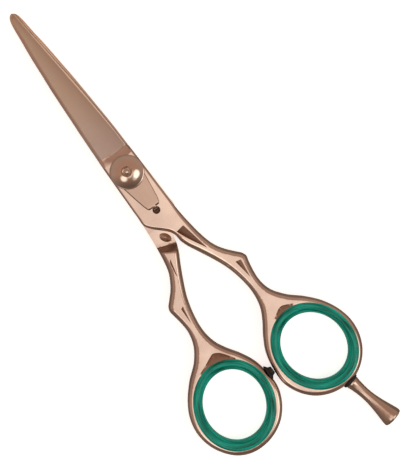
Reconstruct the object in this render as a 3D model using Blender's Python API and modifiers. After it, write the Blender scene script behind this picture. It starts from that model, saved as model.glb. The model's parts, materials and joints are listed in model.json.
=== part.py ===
"""Hair cutting shears with a knob-and-leaf-spring pivot, ring inserts and a finger rest.

The shears lie flat and closed. The pivot axis is Z through the origin, the blades point
along +Y, the finger ring is on the +X side and the knob is on top. z = 0 is the flat
underside of the pivot bolt's head, which is level with the undersides of the ring inserts.
Sizes are in millimetres and are turned into metres when a shape is made.
"""

from math import cos, pi, sin

import bmesh
import bpy
from mathutils import Matrix, Vector

MM = 0.001

# Pivot stack, from the table up
MEMBER_LOW = 0.6            # underside of the back member's blade and pivot zone
SLAB = 2.25                 # thickness of each member at the pivot
BLADE_GAP = 0.3             # space between the members, held by the blade washer
MID = MEMBER_LOW + SLAB + BLADE_GAP / 2
FRONT_LOW = MID + BLADE_GAP / 2
FRONT_TOP = FRONT_LOW + SLAB
BLADE_WASHER_THICK = 0.18
HANDLE_HALF = 2.5           # half of the full thickness of shanks and rings
HANDLE_EDGE = 1.25          # rounding of the handles' edges
SLAB_EDGE = 0.45            # rounding of the pivot zone's edges
LEAF_GAP = 0.1
LEAF_THICK = 0.4
KNOB_PLAY = 0.15            # the knob washer's clearance to the leaf spring
KNOB_WASHER_THICK = 0.3
KNOB_GAP = 0.1
KNOB_HEIGHT = 3.0

LEAF_LOW = FRONT_TOP + LEAF_GAP
KNOB_WASHER_LOW = LEAF_LOW + LEAF_THICK + KNOB_PLAY
KNOB_LOW = KNOB_WASHER_LOW + KNOB_WASHER_THICK + KNOB_GAP
JOURNAL_TOP = LEAF_LOW + LEAF_THICK

# Pivot radii
BOLT_HEAD_RADIUS = 4.0
BOLT_HEAD_HEIGHT = 1.4
BOLT_CHAMFER = 0.2
BOLT_KEY = 4.2              # side of the square that keys the bolt in the thumb member
SHAFT_RADIUS = 1.9
THREAD_RADIUS = 1.4
RUNNING = 0.06              # radial clearance of the running fits
KEY_GAP = 0.1
BUSH_RADIUS = 2.9
BLADE_WASHER_RADIUS = 4.2
KNOB_RADIUS = 4.9
KNOB_COLLAR = 2.25          # raised ring round the bolt's end
KNOB_SKIRT = 0.6            # height of the knob's straight side
KNOB_DOME = 2.0             # rise of the dome above it
NUB_RADIUS = 0.65           # rounded end of the bolt, which shows through the knob
NUB_RISE = 0.35

# Blades
TIP = 55.6                  # from the pivot to the blade tips
BLADE_ROOT = 6.8            # where the ground blade face begins
SPINE_ROUND = 0.85
EDGE_LAND = 0.15            # height of the cutting edge's land
INNER_RELIEF = 0.03         # the inner face stands back by this at the pivot
BLADE_SET = 0.13            # and leans in by this at the tip
BEVEL_SHARE = 0.22          # width of the bevel along the cutting edge, as a share of the half-width
BEVEL_HEIGHT = 0.6          # height of the bevel's upper edge, as a share of the spine's
HOLLOW = 0.08               # depth of the hollow in the inner face

# Rings: an ellipse of these half-axes, its long axis leaning towards the shank
BORE_SHORT, BORE_LONG = 8.9, 10.0
INSERT_WEB = 1.4            # insert wall inside the metal, measured on the long axis
INSERT_FLANGE = 3.35        # insert flange width on the long axis
INSERT_FIT = 0.1            # its clearance to the metal, all round
INSERT_EDGE = 0.3
FINGER_RING = (13.3, -70.6, 12.0)       # centre x, y and lean in degrees
THUMB_RING = (-14.7, -70.6, -20.0)

# Finger rest: it points out of the finger ring along REST_ALONG
REST_ALONG = Vector((0.2164, -0.9763, 0.0))
REST_SEAT = Vector((15.49, -84.21, MID))
REST_RING_RADIUS = 2.4
REST_RING_THICK = 1.0
REST_GAP = 0.06
REST_LENGTH = 15.9
REST_STUD_RADIUS = 1.05
REST_STUD_LENGTH = 2.0
REST_STUD_HOLE_DEPTH = 2.25

# Finger rest's radius against distance from its foot
REST_SHAPE = ((0.0, 1.9), (1.0, 1.84), (2.6, 1.66), (5.0, 1.53), (7.0, 1.6), (9.0, 1.82),
              (11.2, 2.2), (13.2, 2.65), (14.6, 2.93), (15.0, 2.97))

# Leaf spring: a round end on the pivot and a tapered tail with a tongue bent down at its end
LEAF_ROUND = 4.6
LEAF_BORE = 2.2
LEAF_LEAN = 0.029           # sideways drift of the tail's centre line per unit of length
LEAF_TAIL = ((3.6, 4.2), (3.1, 7.0), (2.75, 9.0), (2.25, 11.2), (1.95, 12.1))  # half-width, distance
TONGUE_HOLE = (0.3, -13.4)
TONGUE_HOLE_RADIUS = 1.1
TONGUE_WIDTH = 1.3
TONGUE_DEPTH = 1.6

# Rubber bumper, pressed into the thumb ring and facing the finger ring
BUMPER_AT = (-2.05, -69.2)
BUMPER_LENGTH = 1.95
BUMPER_BASE = 2.3
BUMPER_NOSE = 1.15
BUMPER_STEM_RADIUS = 0.7
BUMPER_STEM_LENGTH = 1.6

COLOURS = {
    "rose_gold": ((0.72, 0.45, 0.36, 1.0), 0.16, 1.0),
    "spring_steel": ((0.72, 0.47, 0.39, 1.0), 0.22, 1.0),
    "green_plastic": ((0.02, 0.26, 0.17, 1.0), 0.25, 0.0),
    "black_rubber": ((0.015, 0.015, 0.015, 1.0), 0.7, 0.0),
    "nylon": ((0.85, 0.83, 0.78, 1.0), 0.5, 0.0),
}

# Half-width of the closed blades against distance from the pivot
BLADE_HALF_WIDTH = ((4.0, 4.9), (10.0, 4.75), (20.0, 4.3), (30.0, 3.75), (40.0, 3.0),
                    (50.0, 1.98), (54.0, 1.42), (55.2, 0.9), (TIP, 0.3))
# How far the cutting edge lies inside that half-width
EDGE_INSET = ((4.0, 0.3), (20.0, 0.35), (40.0, 0.6), (52.0, 0.5), (TIP, 0.1))
# Height of the blade's outer face above its inner face, along the spine
SPINE_HEIGHT = ((4.0, 2.2), (25.0, 2.0), (45.0, 1.6), (54.0, 1.2), (TIP, 0.75))
BLADE_STATIONS = (4.0, BLADE_ROOT, 13.0, 20.0, 27.0, 34.0, 41.0, 47.0, 51.0, 53.5, 54.9, TIP)

# Handle outlines. Each runs down the outer side of the shank, round the ring and back up
# the inner side. The first and last points lie inside the pivot slab.
FINGER_HANDLE = (
    (4.6, -24.3), (6.1, -25.0), (6.55, -27.2), (7.3, -30.0), (9.55, -34.0), (12.2, -37.2), (13.05, -38.9),
    (12.35, -42.0), (11.95, -46.5), (13.2, -51.2), (18.3, -56.9), (22.8, -62.0), (25.5, -68.0),
    (25.95, -73.0), (24.4, -78.2), (20.0, -82.9), (13.4, -84.9), (7.0, -83.4), (2.4, -79.2),
    (0.1, -73.2), (0.6, -67.0), (3.2, -60.6), (6.6, -55.3), (8.3, -50.0), (8.15, -43.5),
    (6.4, -36.8), (3.1, -30.0), (1.6, -26.6), (2.2, -25.2),
)
THUMB_HANDLE = (
    (-4.7, -24.3), (-6.3, -25.0), (-6.85, -27.5), (-7.65, -30.0), (-10.1, -34.0), (-12.95, -37.2),
    (-13.8, -38.9), (-13.2, -42.0), (-12.9, -46.3), (-14.2, -51.0), (-18.8, -56.0),
    (-24.0, -61.2), (-27.1, -66.6), (-27.95, -72.0), (-26.5, -77.8), (-22.2, -82.8),
    (-15.6, -84.9), (-9.0, -83.5), (-4.4, -79.4), (-1.9, -73.4), (-2.2, -67.0), (-5.1, -60.2),
    (-8.3, -54.2), (-9.35, -48.0), (-8.1, -40.5), (-6.5, -36.0), (-3.7, -30.0), (-1.9, -26.6), (-2.4, -25.2),
)
# Pivot zone of the front member; the back one is the same shape turned over
SLAB_OUTLINE = (
    (4.8, 7.6), (4.9, 0.0), (5.0, -10.0), (5.1, -17.0), (5.5, -22.0), (6.2, -27.0),
    (5.9, -29.5), (3.6, -29.0), (1.2, -25.3), (0.2, -22.0), (-1.4, -19.7), (-4.1, -16.8),
    (-5.25, -15.1), (-5.25, -10.0), (-5.1, 0.0), (-4.8, 7.6),
)
SLAB_CORNERS = (0, 12, 15)


def clear_scene():
    for old in list(bpy.data.objects):
        bpy.data.objects.remove(old, do_unlink=True)


def new_collection(name):
    made = bpy.data.collections.new(name)
    bpy.context.scene.collection.children.link(made)
    return made


def material(name):
    colour, roughness, metallic = COLOURS[name]
    made = bpy.data.materials.new(name)
    made.use_nodes = True
    shader = made.node_tree.nodes["Principled BSDF"]
    shader.inputs["Base Color"].default_value = colour
    shader.inputs["Roughness"].default_value = roughness
    shader.inputs["Metallic"].default_value = metallic
    return made


def between(table, at):
    """A smooth value from a short table of (place, value) pairs, without overshoot."""
    places = [place for place, _ in table]
    values = [value for _, value in table]
    steps = [(values[i + 1] - values[i]) / (places[i + 1] - places[i]) for i in range(len(table) - 1)]
    slopes = [steps[0]]
    for before, after in zip(steps, steps[1:]):
        slopes.append(0.0 if before * after <= 0 else 2 * before * after / (before + after))
    slopes.append(steps[-1])
    at = min(max(at, places[0]), places[-1])
    i = max(k for k in range(len(steps)) if places[k] <= at)
    span = places[i + 1] - places[i]
    t = (at - places[i]) / span
    return (values[i] * (1 + 2 * t) * (1 - t) ** 2 + values[i + 1] * t * t * (3 - 2 * t)
            + span * (slopes[i] * t * (1 - t) ** 2 - slopes[i + 1] * t * t * (1 - t)))


def add(name, mesh, collection):
    made = bpy.data.objects.new(name, mesh)
    collection.objects.link(made)
    return made


def smooth(obj, angle=0.6):
    obj.data.shade_smooth()
    obj.data.set_sharp_from_angle(angle=angle)


def plate(name, outline, low, high, rounding, collection, corners=(), resolution=3):
    """A flat piece with rounded edges; its outline is smooth but for the points named as corners."""
    curve = bpy.data.curves.new(name, "CURVE")
    curve.dimensions = "2D"
    curve.fill_mode = "BOTH"
    curve.resolution_u = resolution
    curve.extrude = ((high - low) / 2 - rounding) * MM
    curve.bevel_depth = rounding * MM
    curve.bevel_resolution = 1
    curve.offset = -rounding * MM
    spline = curve.splines.new("BEZIER")
    spline.bezier_points.add(len(outline) - 1)
    spline.use_cyclic_u = True
    for i, (point, (x, y)) in enumerate(zip(spline.bezier_points, outline)):
        point.co = (x * MM, y * MM, 0)
        point.handle_left_type = point.handle_right_type = "VECTOR" if i in corners else "AUTO"
    guide = add(name + "_curve", curve, collection)
    guide.location.z = (low + high) / 2 * MM
    return as_mesh(guide, name, collection)


def as_mesh(guide, name, collection):
    """The curve made a closed mesh that stands where the curve stood."""
    bpy.context.view_layer.update()
    evaluated = guide.evaluated_get(bpy.context.evaluated_depsgraph_get())
    mesh = bpy.data.meshes.new_from_object(evaluated)
    mesh.transform(guide.matrix_world)
    shape = bmesh.new()
    shape.from_mesh(mesh)
    bmesh.ops.remove_doubles(shape, verts=shape.verts, dist=1e-6)
    bmesh.ops.recalc_face_normals(shape, faces=shape.faces)
    shape.to_mesh(mesh)
    shape.free()
    bpy.data.objects.remove(guide, do_unlink=True)
    return add(name, mesh, collection)


def turned(name, profile, collection, closed=False, steps=36):
    """A shape turned about its own Z from (radius, height) points that run down the outer side."""
    mesh = bpy.data.meshes.new(name)
    edges = [(i, i + 1) for i in range(len(profile) - 1)]
    if closed:
        edges.append((len(profile) - 1, 0))
    mesh.from_pydata([(radius * MM, 0, height * MM) for radius, height in profile], edges, [])
    made = add(name, mesh, collection)
    screw = made.modifiers.new("Turn", "SCREW")
    screw.steps = screw.render_steps = steps
    screw.use_merge_vertices = True
    screw.merge_threshold = 0.000001
    return made


def ring_disc(name, bore, radius, low, high, collection, steps=36):
    corners = ((radius, high), (radius, low), (bore, low), (bore, high))
    return turned(name, corners, collection, closed=True, steps=steps)


def disc(name, radius, low, high, collection, steps=36):
    return turned(name, ((0, high), (radius, high), (radius, low), (0, low)), collection, steps=steps)


def point_along_rest(obj):
    obj.rotation_mode = "QUATERNION"
    obj.rotation_quaternion = REST_ALONG.to_track_quat("Z", "X")
    obj.location = REST_SEAT * MM


def face_along_x(obj, place):
    x, y = place
    obj.rotation_euler = (0, pi / 2, 0)
    obj.location = (x * MM, y * MM, MID * MM)


def block(name, size, centre, collection):
    shape = bmesh.new()
    bmesh.ops.create_cube(shape, size=1.0)
    bmesh.ops.scale(shape, vec=[side * MM for side in size], verts=shape.verts)
    bmesh.ops.translate(shape, vec=[place * MM for place in centre], verts=shape.verts)
    mesh = bpy.data.meshes.new(name)
    shape.to_mesh(mesh)
    shape.free()
    return add(name, mesh, collection)


def join_or_cut(obj, other, operation):
    boolean = obj.modifiers.new(operation.title(), "BOOLEAN")
    boolean.object = other
    boolean.operation = operation
    boolean.solver = "EXACT"
    other.hide_render = True
    other.display_type = "WIRE"


def fit_ring(obj, ring):
    """Lays a round shape over a ring: squeezed to the ring's ellipse and leaning with it."""
    x, y, lean = ring
    obj.location = (x * MM, y * MM, MID * MM)
    obj.rotation_euler = (0, 0, lean * pi / 180)
    obj.scale = (BORE_SHORT / BORE_LONG, 1, 1)


def blade_section(y):
    """Corners of the front blade's section at y, from the cutting edge over the spine and back."""
    half = between(BLADE_HALF_WIDTH, y)
    edge = half - between(EDGE_INSET, y)
    high = between(SPINE_HEIGHT, y)
    round_ = min(SPINE_ROUND, 0.45 * half, 0.6 * high)
    face_edge = edge - BEVEL_SHARE * half
    inner = FRONT_LOW + INNER_RELIEF - BLADE_SET * (y / TIP) ** 2
    top = inner + high
    arc = [(-half + round_ * (1 - cos(a)), top - round_ * (1 - sin(a)))
           for a in (pi / 2, pi / 3, pi / 6, 0)]
    return [(edge, inner), (edge, inner + EDGE_LAND), (face_edge, inner + BEVEL_HEIGHT * high), *arc,
            (-half, inner + 0.3), (-half + 0.25, inner), (0.1 * half, inner + HOLLOW)]


def blade(name, collection):
    """The front blade: its section lofted from the pivot zone to the tip."""
    shape = bmesh.new()
    rows = []
    for y in BLADE_STATIONS:
        rows.append([shape.verts.new((x * MM, y * MM, z * MM)) for x, z in blade_section(y)])
    count = len(rows[0])
    for row, after in zip(rows, rows[1:]):
        for i in range(count):
            j = (i + 1) % count
            shape.faces.new((row[i], row[j], after[j], after[i]))
    shape.faces.new(rows[0])
    shape.faces.new(rows[-1][::-1])
    bmesh.ops.recalc_face_normals(shape, faces=shape.faces)
    mesh = bpy.data.meshes.new(name)
    shape.to_mesh(mesh)
    shape.free()
    return add(name, mesh, collection)


def turn_over(obj):
    """Half a turn about the shears' long axis, which makes the back member's shape of the front's."""
    swing = Matrix.Translation((0, 0, MID * MM)) @ Matrix.Rotation(pi, 4, "Y")
    obj.data.transform(swing @ Matrix.Translation((0, 0, -MID * MM)))


def member(name, handle, ring, over, parts, helpers):
    """One forged member: ring and shank, with the pivot slab and the blade joined on."""
    made = plate(name, handle, MID - HANDLE_HALF, MID + HANDLE_HALF, HANDLE_EDGE, parts)
    hole = disc(name + "_ring_hole", BORE_LONG + INSERT_WEB + INSERT_FIT, -4, 4, helpers, 48)
    fit_ring(hole, ring)
    slab = plate(name + "_slab", SLAB_OUTLINE, FRONT_LOW, FRONT_TOP, SLAB_EDGE, helpers,
                 corners=SLAB_CORNERS)
    edge = blade(name + "_blade", helpers)
    if over:
        turn_over(slab)
        turn_over(edge)
    join_or_cut(made, slab, "UNION")
    join_or_cut(made, edge, "UNION")
    join_or_cut(made, hole, "DIFFERENCE")
    return made


def make_finger_member(parts, helpers):
    made = member("finger_member", FINGER_HANDLE, FINGER_RING, False, parts, helpers)
    bush = disc("bush_hole", BUSH_RADIUS + RUNNING, FRONT_LOW - 1, FRONT_TOP + 1, helpers)
    tongue = disc("tongue_hole", TONGUE_HOLE_RADIUS, FRONT_TOP - TONGUE_DEPTH, FRONT_TOP + 1, helpers, 24)
    tongue.location = (TONGUE_HOLE[0] * MM, TONGUE_HOLE[1] * MM, 0)
    stud = disc("stud_hole", REST_STUD_RADIUS + RUNNING, -REST_STUD_HOLE_DEPTH, 1, helpers, 24)
    seat = disc("rest_seat", REST_RING_RADIUS + 0.2, 0, 4, helpers)
    for cutter in (stud, seat):
        point_along_rest(cutter)
    for cutter in (bush, tongue, stud, seat):
        join_or_cut(made, cutter, "DIFFERENCE")
    return made


def make_thumb_member(parts, helpers):
    made = member("thumb_member", THUMB_HANDLE, THUMB_RING, True, parts, helpers)
    side = BOLT_KEY + 2 * KEY_GAP
    head = disc("head_recess", BOLT_HEAD_RADIUS + KEY_GAP, -1, BOLT_HEAD_HEIGHT + KEY_GAP, helpers)
    key = block("key_hole", (side, side, 8), (0, 0, 0), helpers)
    stem = disc("bumper_hole", BUMPER_STEM_RADIUS + KEY_GAP, -BUMPER_STEM_LENGTH - KEY_GAP, 1,
                helpers, 24)
    seat = disc("bumper_seat", BUMPER_BASE + 0.2, 0, 2, helpers)
    for cutter in (stem, seat):
        face_along_x(cutter, BUMPER_AT)
    for cutter in (head, key, stem, seat):
        join_or_cut(made, cutter, "DIFFERENCE")
    return made


def make_bolt(parts, helpers):
    """Flat head at the back, a square key in the thumb member, a plain journal and a thread."""
    knob_top = KNOB_LOW + KNOB_HEIGHT
    nub = [(NUB_RADIUS * sin(a), knob_top + NUB_RISE * cos(a)) for a in (0, pi / 4, pi / 2)]
    made = turned("pivot_bolt", nub + [
        (NUB_RADIUS, knob_top - NUB_RISE), (THREAD_RADIUS, knob_top - NUB_RISE),
        (THREAD_RADIUS, JOURNAL_TOP), (SHAFT_RADIUS, JOURNAL_TOP), (SHAFT_RADIUS, BOLT_HEAD_HEIGHT),
        (BOLT_HEAD_RADIUS, BOLT_HEAD_HEIGHT), (BOLT_HEAD_RADIUS, BOLT_CHAMFER),
        (BOLT_HEAD_RADIUS - BOLT_CHAMFER, 0), (0, 0)], parts)
    key_low, key_top = BOLT_HEAD_HEIGHT / 2, MEMBER_LOW + SLAB - 0.05
    key = block("bolt_key", (BOLT_KEY, BOLT_KEY, key_top - key_low), (0, 0, (key_top + key_low) / 2), helpers)
    join_or_cut(made, key, "UNION")
    return made


def make_leaf_spring(parts, helpers):
    start = -0.28 * pi
    around = [start + (pi - 2 * start) * i / 10 for i in range(11)]
    outline = [(LEAF_ROUND * cos(a), LEAF_ROUND * sin(a)) for a in around]
    outline += [(LEAF_LEAN * far - half, -far) for half, far in LEAF_TAIL]
    outline += [(LEAF_LEAN * far + half, -far) for half, far in reversed(LEAF_TAIL)]
    made = plate("leaf_spring", outline, LEAF_LOW, LEAF_LOW + LEAF_THICK, 0.08, parts,
                 corners=(15, 16))
    x, y = TONGUE_HOLE
    reach = -y - 11.5
    flat = block("tongue_flat", (TONGUE_WIDTH, reach, LEAF_THICK - 0.02),
                 (x, y + reach / 2, LEAF_LOW + LEAF_THICK / 2), helpers)
    drop = LEAF_GAP + TONGUE_DEPTH - 0.2 + LEAF_THICK - 0.04
    bent = block("tongue_bent", (TONGUE_WIDTH - 0.02, LEAF_THICK, drop),
                 (x, y, LEAF_LOW + LEAF_THICK - 0.02 - drop / 2), helpers)
    bore = disc("leaf_bore", LEAF_BORE, LEAF_LOW - 1, LEAF_LOW + 2, helpers)
    join_or_cut(made, flat, "UNION")
    join_or_cut(made, bent, "UNION")
    join_or_cut(made, bore, "DIFFERENCE")
    return made


def make_knob(parts):
    """A dome with a raised ring round the bolt's end and a plain skirt."""
    bore = THREAD_RADIUS + RUNNING
    dome = [(KNOB_RADIUS * sin(a), KNOB_SKIRT + KNOB_DOME * cos(a)) for a in (0.5, 0.7, 0.9, 1.1, 1.3, pi / 2)]
    profile = [(bore, KNOB_HEIGHT), (KNOB_COLLAR - 0.25, KNOB_HEIGHT), (KNOB_COLLAR, KNOB_HEIGHT - 0.2),
               (KNOB_COLLAR, dome[0][1])] + dome
    profile += [(KNOB_RADIUS, 0.15), (KNOB_RADIUS - 0.15, 0), (bore, 0)]
    return turned("tension_knob", [(r, KNOB_LOW + z) for r, z in profile], parts, closed=True, steps=48)


def make_insert(name, ring, parts):
    """A sizing ring with a groove round it that grips the member's ring."""
    web = BORE_LONG + INSERT_WEB
    rim = BORE_LONG + INSERT_FLANGE
    groove = HANDLE_HALF + INSERT_FIT
    half = [(BORE_LONG + INSERT_EDGE, MID), (rim - INSERT_EDGE, MID), (rim, MID - 0.15),
            (rim, groove), (web, groove)]
    bore = [(BORE_LONG, -groove), (BORE_LONG, groove)]
    profile = half + [(r, -z) for r, z in reversed(half)] + bore
    made = turned(name, profile, parts, closed=True, steps=48)
    fit_ring(made, ring)
    return made


def make_bumper(parts):
    made = turned("bumper", (
        (0, BUMPER_LENGTH), (BUMPER_NOSE - 0.2, BUMPER_LENGTH), (BUMPER_NOSE, BUMPER_LENGTH - 0.2),
        (BUMPER_NOSE + 0.15, 1.2), (BUMPER_BASE, 0.35), (BUMPER_BASE, KEY_GAP),
        (BUMPER_STEM_RADIUS, KEY_GAP), (BUMPER_STEM_RADIUS, -BUMPER_STEM_LENGTH),
        (0, -BUMPER_STEM_LENGTH)), parts, steps=32)
    face_along_x(made, BUMPER_AT)
    return made


def make_finger_rest(parts):
    foot = REST_RING_THICK + 2 * REST_GAP
    flare = [(radius, foot + far) for far, radius in REST_SHAPE]
    end = foot + REST_LENGTH
    profile = [(0, end), (1.9, end - 0.25), (2.7, end - 0.6)] + flare[::-1]
    profile += [(REST_STUD_RADIUS, foot), (REST_STUD_RADIUS, -REST_STUD_LENGTH),
                (0, -REST_STUD_LENGTH)]
    made = turned("finger_rest", profile, parts, steps=32)
    point_along_rest(made)
    return made


def make_rest_washer(parts):
    low, high = REST_GAP, REST_GAP + REST_RING_THICK
    half = REST_RING_THICK / 2
    outer = [(REST_RING_RADIUS - half * (1 - cos(a)), low + half + half * sin(a))
             for a in (1.3, 0.8, 0.3, -0.3, -0.8, -1.3)]
    bore = REST_STUD_RADIUS + RUNNING
    made = turned("finger_rest_washer", [(bore, high)] + outer + [(bore, low)], parts, closed=True,
                  steps=32)
    point_along_rest(made)
    return made


def main():
    clear_scene()
    parts = new_collection("hair_cutting_shears")
    helpers = new_collection("cutters")
    helpers.hide_render = True
    finishes = {name: material(name) for name in COLOURS}
    pieces = {
        "rose_gold": [make_finger_member(parts, helpers), make_thumb_member(parts, helpers),
                      make_bolt(parts, helpers), make_knob(parts), make_finger_rest(parts)],
        "spring_steel": [make_leaf_spring(parts, helpers),
                         ring_disc("knob_washer", THREAD_RADIUS + RUNNING + 0.1, KNOB_RADIUS - 0.3,
                                   KNOB_WASHER_LOW, KNOB_WASHER_LOW + KNOB_WASHER_THICK, parts)],
        "green_plastic": [make_insert("finger_ring_insert", FINGER_RING, parts),
                          make_insert("thumb_ring_insert", THUMB_RING, parts)],
        "black_rubber": [make_bumper(parts), make_rest_washer(parts)],
        "nylon": [ring_disc("pivot_bush", SHAFT_RADIUS + RUNNING, BUSH_RADIUS, FRONT_LOW, FRONT_TOP,
                            parts),
                  ring_disc("blade_washer", SHAFT_RADIUS + 0.3, BLADE_WASHER_RADIUS,
                            MID - BLADE_WASHER_THICK / 2, MID + BLADE_WASHER_THICK / 2, parts)],
    }
    for finish, made in pieces.items():
        for piece in made:
            piece.data.materials.clear()
            piece.data.materials.append(finishes[finish])
            smooth(piece)


main()
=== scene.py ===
import json
from math import cos, pi, radians, sin

import bpy
import numpy as np
from mathutils import Matrix, Vector
from mathutils.geometry import delaunay_2d_cdt


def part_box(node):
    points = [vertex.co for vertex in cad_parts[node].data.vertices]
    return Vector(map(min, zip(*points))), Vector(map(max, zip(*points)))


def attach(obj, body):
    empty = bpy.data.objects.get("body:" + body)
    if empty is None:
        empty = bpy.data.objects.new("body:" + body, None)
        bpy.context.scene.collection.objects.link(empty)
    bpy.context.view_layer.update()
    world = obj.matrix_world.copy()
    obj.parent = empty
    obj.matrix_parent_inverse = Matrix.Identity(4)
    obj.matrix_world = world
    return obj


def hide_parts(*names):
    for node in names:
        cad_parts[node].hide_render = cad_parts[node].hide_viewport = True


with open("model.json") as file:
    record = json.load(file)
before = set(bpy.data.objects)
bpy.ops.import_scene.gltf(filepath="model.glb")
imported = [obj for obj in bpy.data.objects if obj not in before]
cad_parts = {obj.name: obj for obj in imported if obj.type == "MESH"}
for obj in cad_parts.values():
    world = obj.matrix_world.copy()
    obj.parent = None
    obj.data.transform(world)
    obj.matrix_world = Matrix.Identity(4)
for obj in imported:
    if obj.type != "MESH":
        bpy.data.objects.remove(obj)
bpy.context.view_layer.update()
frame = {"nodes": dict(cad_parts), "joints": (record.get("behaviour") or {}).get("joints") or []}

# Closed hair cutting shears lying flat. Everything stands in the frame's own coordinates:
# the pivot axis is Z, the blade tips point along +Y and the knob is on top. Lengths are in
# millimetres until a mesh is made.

MM = 0.001


def low_high(node, axis):
    """Lowest and highest place of a CAD node along an axis, in millimetres."""
    low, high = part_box(node)
    return low[axis] / MM, high[axis] / MM


HANDLE_LOW, HANDLE_TOP = low_high("finger_member", 2)
MID = (HANDLE_LOW + HANDLE_TOP) / 2
FRONT_LOW, FRONT_TOP = low_high("pivot_bush", 2)
LEAF_TOP = low_high("leaf_spring", 2)[1]
LEAF_THICK = 0.4
WASHER_LOW, WASHER_TOP = low_high("knob_washer", 2)
WASHER_RADIUS = low_high("knob_washer", 0)[1]
KNOB_LOW, KNOB_TOP = low_high("tension_knob", 2)
KNOB_RADIUS = low_high("tension_knob", 0)[1]
BOLT_TOP = low_high("pivot_bolt", 2)[1]
BOLT_HEAD_RADIUS = low_high("pivot_bolt", 0)[1]
INSERT_TOP = low_high("finger_ring_insert", 2)[1]
TIP = low_high("finger_member", 1)[1]

# Density of the members' meshes
STEP = 0.36                 # spacing of points along an outline
GRID = 0.55                 # spacing of points inside it
EDGE_ROWS = 6               # rows of points over a rounded edge
ROW_GAP = 0.03              # least distance between those rows
GRID_EDGE = 1.2             # the grid keeps at most this far from an edge
POINT_GAP = 0.1             # least distance between points, and from a point to a line
LINE_GAP = 0.028
WELL_RIM = 0.02             # half the width of a drilled hole's wall

# Blades, against y: half-width of the closed pair, how far the cutting edge lies inside it, and the x
# at which the ground face ends
BLADE_ROOT = 6.8
# Lower end of the ground face, as y against x
ROOT_LINE = ((-5.0, 7.3), (-3.3, 7.0), (0.0, 6.35), (2.5, 6.4), (5.0, 6.8))
RAMP = 2.6                  # length of the slope from the slab down to it
RAMP_POWER = 1.3            # over 1, the slope starts gently at the slab
HALF_WIDTH = ((4.0, 4.85), (10.0, 4.72), (16.0, 4.5), (20.0, 4.28), (26.0, 3.97), (32.0, 3.62),
              (36.0, 3.28), (40.0, 2.98), (44.0, 2.62), (48.0, 2.16), (52.0, 1.78), (54.0, 1.42),
              (55.0, 0.98), (TIP, 0.3))
EDGE_INSET = ((4.0, 0.3), (20.0, 0.36), (40.0, 0.62), (52.0, 0.5), (TIP, 0.12))
FACE_END = ((4.0, 4.05), (8.0, 4.0), (20.0, 3.3), (25.0, 2.95), (30.0, 2.5), (35.0, 2.12), (40.0, 1.68),
            (45.0, 1.28), (50.0, 0.85), (54.0, 0.5), (TIP, 0.12))
SPINE_HEIGHT = ((4.0, 2.0), (25.0, 1.8), (45.0, 1.3), (54.0, 0.9), (TIP, 0.6))
FACE_SLOPE = 0.12           # mean slope of the ground face
FACE_START = 0.62           # its finish begins at this share of the spine's rounding
FALL_LIMIT = 0.4            # the most that the face may fall, as a share of the spine's height
CROWN = 0.65                # share of that fall which is curved
BEVEL_SLOPE = 0.14
SPINE_ROUND = 1.1           # width of the rounding along the spine, and its depth as a share of the height
SPINE_DROP = 0.30
INNER_ROUND = 0.6           # the same for the inner face
INNER_DROP = 0.16
EDGE_LAND = 0.16            # thickness left at the cutting edge, and the width over which it thins
EDGE_WIDTH = 0.28
INNER_RELIEF = 0.03         # how far the blade's inner face stands back, and how far it leans in at the tip
BLADE_SET = 0.13
# How far both blades lie to the right of the pivot's middle line
BLADE_SHIFT = ((6.0, 0.0), (14.0, 0.09), (48.0, 0.12), (53.0, 0.17), (TIP, 0.28))
# Places along the cutting edge, from the tip down, and along the spine, upwards
EDGE_PLACES = (TIP - 0.15, 55.2, 54.5, 53, 50, 46, 42, 38, 34, 30, 26, 22, 18, 14, 10.5, BLADE_ROOT + 0.2)
SPINE_PLACES = (8.0, 12, 16, 20, 24, 28, 32, 36, 40, 44, 48, 51, 53, 54.5, 55.2)

# Rounding of the top edges against y: how wide it is, and how far down it reaches
ROUND_WIDTH = ((-90.0, 1.4), (-62.0, 1.45), (-54.0, 1.7), (-46.0, 1.5), (-32.0, 1.7), (-25.0, 1.35),
               (-19.0, 1.1), (-12.0, 0.7), (8.0, 0.7))
ROUND_DROP = ((-90.0, 1.3), (-62.0, 1.4), (-54.0, 1.6), (-30.0, 1.6), (-25.0, 1.5), (-19.0, 1.3),
              (-12.0, 0.5), (0.0, 0.45), (8.0, 0.45))
SIDE_POWER, BORE_POWER = 3, 2           # how the rounding steepens towards the outline and the bore
SHANK_START, SHANK_BLEND = 20.0, 8.0    # where the shanks begin to thicken, and over what length

# Rings: x and y of the centre, and lean in degrees. Bores and edges are long half-axes of ovals, and
# BORE_SHARE times that gives the short ones
RINGS = {"finger": (13.3, -70.68, 12.0), "thumb": (14.7, -70.68, 20.0)}
BORE_LONG, BORE_SHARE = 10.08, 0.885
METAL_BORE = 11.5           # the metal's bore, wider by the insert's web
FLANGE = 13.12              # outer edge of the insert's flange
POCKET_EDGE = 12.9          # long half-axis of the recess that the insert's flange stands in
POCKET_SLOPE = 0.6          # the recess sinks from the ring towards its point, where it has a steep wall
POCKET_WALL = 4.0
WALL_WIDTH = 0.12           # width of that wall
POCKETS = {"finger": ((9.0, -57.6), (12.2, -56.0), (15.2, -57.2)),
           "thumb": ((6.6, -60.2), (8.2, -57.7), (9.6, -56.1), (11.1, -55.35), (12.6, -55.85), (14.6, -56.75),
                     (17.0, -57.7))}

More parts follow.
